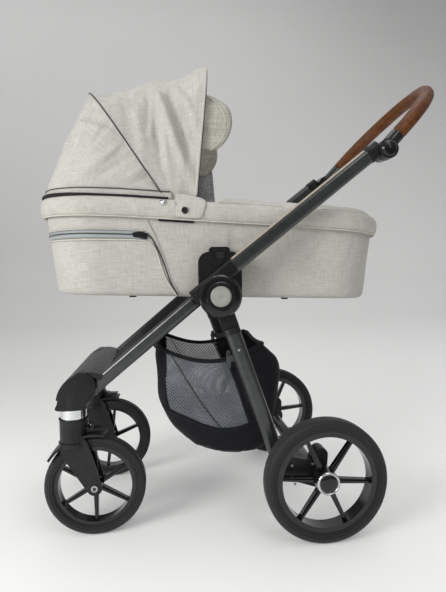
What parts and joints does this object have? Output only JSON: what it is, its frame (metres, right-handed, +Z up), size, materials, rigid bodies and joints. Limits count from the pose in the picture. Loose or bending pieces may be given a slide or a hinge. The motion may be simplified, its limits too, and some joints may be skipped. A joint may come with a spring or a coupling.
{
  "type": "baby stroller",
  "caption": "Pram with a flat carrycot under a hinged hood, on a folding frame with swivelling front wheels, a basket and a tilting loop handle.",
  "frame": {"origin": "on the floor, under the middle of the overall length and width", "axes": "+Z up; +X towards the pusher's handle; +Y to the pusher's right"},
  "size_m": [1.0543, 0.6262, 1.163],
  "materials": {
    "graphite": "satin graphite paint",
    "bridge_plastic": "fine grain",
    "black_plastic": "fine grain",
    "gloss_black": "polished",
    "steel": "bright",
    "chrome": "polished",
    "cap_grey": "satin",
    "leather": "fine grain, oiled",
    "tyre": "matt rubber",
    "linen": "melange weave",
    "basket_fabric": "plain weave and mesh",
    "mattress_cover": "soft knit",
    "hook_plastic": "fine grain",
    "button_plastic": "satin"
  },
  "bodies": {
    "chassis": {"front_tube_left": "graphite", "front_tube_right": "graphite", "front_bridge": "bridge_plastic", "steering_heads": "black_plastic", "hub_plates": "black_plastic", "hub_pivots": "steel", "cot_adaptors": "black_plastic", "basket": "basket_fabric"},
    "handle": {"handle_tube_left": "graphite", "handle_tube_right": "graphite", "handle_brackets": "black_plastic", "tube_ends": "black_plastic", "hub_rings": "gloss_black", "hub_caps": "cap_grey"},
    "grip": {"grip_core": "steel", "grip_leather": "leather", "grip_sockets": "gloss_black"},
    "rear_legs": {"rear_leg_left": "graphite", "rear_leg_right": "graphite", "leg_sockets": "gloss_black", "axle_tube": "graphite", "brake_housings": "black_plastic", "axle_pins": "steel", "basket_hooks": "hook_plastic"},
    "brake_pedal": {"brake_pedal": "black_plastic"},
    "cot": {"cot_shell": "linen", "cot_rim": "linen", "mattress": "mattress_cover", "apron": "linen", "cot_feet": "black_plastic", "cot_lugs": "black_plastic", "hood_panel_back": "linen"},
    "hood_middle": {"hood_bow_middle": "steel", "hood_panel_front": "linen"},
    "hood_front": {"hood_bow_front": "steel"},
    "visor": {"visor": "linen"},
    "tilt_button_left": {"tilt_button_left": "gloss_black"},
    "brake_pin_left": {"brake_pin_left": "steel"},
    "rear_wheel_left": {"rear_tyre_left": "tyre", "rear_rim_left": "gloss_black", "rear_cap_left": "chrome"},
    "caster_left": {"suspension_sleeve_left": "chrome"},
    "fork_left": {"fork_left": "black_plastic", "front_axle_left": "steel"},
    "lock_lever_left": {"lock_lever_left": "black_plastic"},
    "front_wheel_left": {"front_tyre_left": "tyre", "front_rim_left": "gloss_black"},
    "release_button_left": {"release_button_left": "button_plastic"},
    "tilt_button_right": {"tilt_button_right": "gloss_black"},
    "brake_pin_right": {"brake_pin_right": "steel"},
    "rear_wheel_right": {"rear_tyre_right": "tyre", "rear_rim_right": "gloss_black", "rear_cap_right": "chrome"},
    "caster_right": {"suspension_sleeve_right": "chrome"},
    "fork_right": {"fork_right": "black_plastic", "front_axle_right": "steel"},
    "lock_lever_right": {"lock_lever_right": "black_plastic"},
    "front_wheel_right": {"front_tyre_right": "tyre", "front_rim_right": "gloss_black"},
    "release_button_right": {"release_button_right": "button_plastic"}
  },
  "joints": [
    {"name": "handle_fold", "type": "hinge", "parent": "chassis", "child": "handle", "pos_m": [-0.09062, 0, 0.576], "axis": [0, 1, 0], "range_deg": [-150, 0]},
    {"name": "grip_tilt", "type": "hinge", "parent": "handle", "child": "grip", "pos_m": [0.31638, 0, 0.918], "axis": [0, 1, 0], "range_deg": [-25, 75]},
    {"name": "leg_fold", "type": "hinge", "parent": "chassis", "child": "rear_legs", "pos_m": [-0.09062, 0, 0.576], "axis": [0, 1, 0], "range_deg": [0, 40]},
    {"name": "brake_press", "type": "hinge", "parent": "rear_legs", "child": "brake_pedal", "pos_m": [0.16638, 0, 0.149], "axis": [0, 1, 0], "range_deg": [0, 18]},
    {"name": "tilt_button_press_left", "type": "slide", "parent": "handle", "child": "tilt_button_left", "axis": [0, 1, 0], "range_m": [0, 0.003], "stiffness_N_per_m": 800, "springref_m": -0.002},
    {"name": "brake_pin_slide_left", "type": "slide", "parent": "rear_legs", "child": "brake_pin_left", "axis": [0, -1, 0], "range_m": [0, 0.008]},
    {"name": "rear_wheel_spin_left", "type": "hinge", "parent": "rear_legs", "child": "rear_wheel_left", "pos_m": [0.14438, -0.286, 0.145], "axis": [0, 1, 0], "continuous": true},
    {"name": "caster_swivel_left", "type": "hinge", "parent": "chassis", "child": "caster_left", "pos_m": [-0.44262, -0.169, 0.312], "axis": [0, 0, 1], "continuous": true},
    {"name": "suspension_left", "type": "slide", "parent": "caster_left", "child": "fork_left", "axis": [0, 0, 1], "range_m": [0, 0.012], "stiffness_N_per_m": 6000, "springref_m": -0.01},
    {"name": "lock_lever_turn_left", "type": "hinge", "parent": "fork_left", "child": "lock_lever_left", "pos_m": [-0.40162, -0.169, 0.258], "axis": [0, -1, 0], "range_deg": [0, 25]},
    {"name": "front_wheel_spin_left", "type": "hinge", "parent": "fork_left", "child": "front_wheel_left", "pos_m": [-0.39462, -0.169, 0.1205], "axis": [0, 1, 0], "continuous": true},
    {"name": "release_press_left", "type": "slide", "parent": "cot", "child": "release_button_left", "axis": [0, 1, 0], "range_m": [0, 0.004], "stiffness_N_per_m": 800, "springref_m": -0.002},
    {"name": "tilt_button_press_right", "type": "slide", "parent": "handle", "child": "tilt_button_right", "axis": [0, -1, 0], "range_m": [0, 0.003], "stiffness_N_per_m": 800, "springref_m": -0.002},
    {"name": "brake_pin_slide_right", "type": "slide", "parent": "rear_legs", "child": "brake_pin_right", "axis": [0, 1, 0], "range_m": [0, 0.008]},
    {"name": "rear_wheel_spin_right", "type": "hinge", "parent": "rear_legs", "child": "rear_wheel_right", "pos_m": [0.14438, 0.286, 0.145], "axis": [0, 1, 0], "continuous": true},
    {"name": "caster_swivel_right", "type": "hinge", "parent": "chassis", "child": "caster_right", "pos_m": [-0.44262, 0.169, 0.312], "axis": [0, 0, 1], "continuous": true},
    {"name": "suspension_right", "type": "slide", "parent": "caster_right", "child": "fork_right", "axis": [0, 0, 1], "range_m": [0, 0.012], "stiffness_N_per_m": 6000, "springref_m": -0.01},
    {"name": "lock_lever_turn_right", "type": "hinge", "parent": "fork_right", "child": "lock_lever_right", "pos_m": [-0.40162, 0.169, 0.258], "axis": [0, -1, 0], "range_deg": [0, 25]},
    {"name": "front_wheel_spin_right", "type": "hinge", "parent": "fork_right", "child": "front_wheel_right", "pos_m": [-0.39462, 0.169, 0.1205], "axis": [0, 1, 0], "continuous": true},
    {"name": "release_press_right", "type": "slide", "parent": "cot", "child": "release_button_right", "axis": [0, -1, 0], "range_m": [0, 0.004], "stiffness_N_per_m": 800, "springref_m": -0.002},
    {"name": "cot_lift", "type": "slide", "parent": "chassis", "child": "cot", "axis": [0, 0, 1], "range_m": [0, 0.25]},
    {"name": "hood_fold", "type": "hinge", "parent": "cot", "child": "hood_middle", "pos_m": [-0.19562, 0, 0.785], "axis": [0, -1, 0], "range_deg": [0, 36], "deforming": ["hood_panel_back"]},
    {"name": "hood_front_fold", "type": "hinge", "parent": "hood_middle", "child": "hood_front", "pos_m": [-0.19562, 0, 0.785], "axis": [0, -1, 0], "range_deg": [0, 39], "deforming": ["hood_panel_front"]},
    {"name": "visor_flip", "type": "hinge", "parent": "hood_front", "child": "visor", "pos_m": [-0.19562, 0, 0.785], "axis": [0, -1, 0], "range_deg": [-30, 8]}
  ],
  "couplings": [
    {"joint": "leg_fold", "follows": "handle_fold", "ratio": -0.26667},
    {"joint": "hood_front_fold", "follows": "hood_fold", "ratio": 1.0833},
    {"joint": "brake_pin_slide_left", "follows": "brake_press", "m_per_rad": 0.02546},
    {"joint": "brake_pin_slide_right", "follows": "brake_press", "m_per_rad": 0.02546}
  ]
}
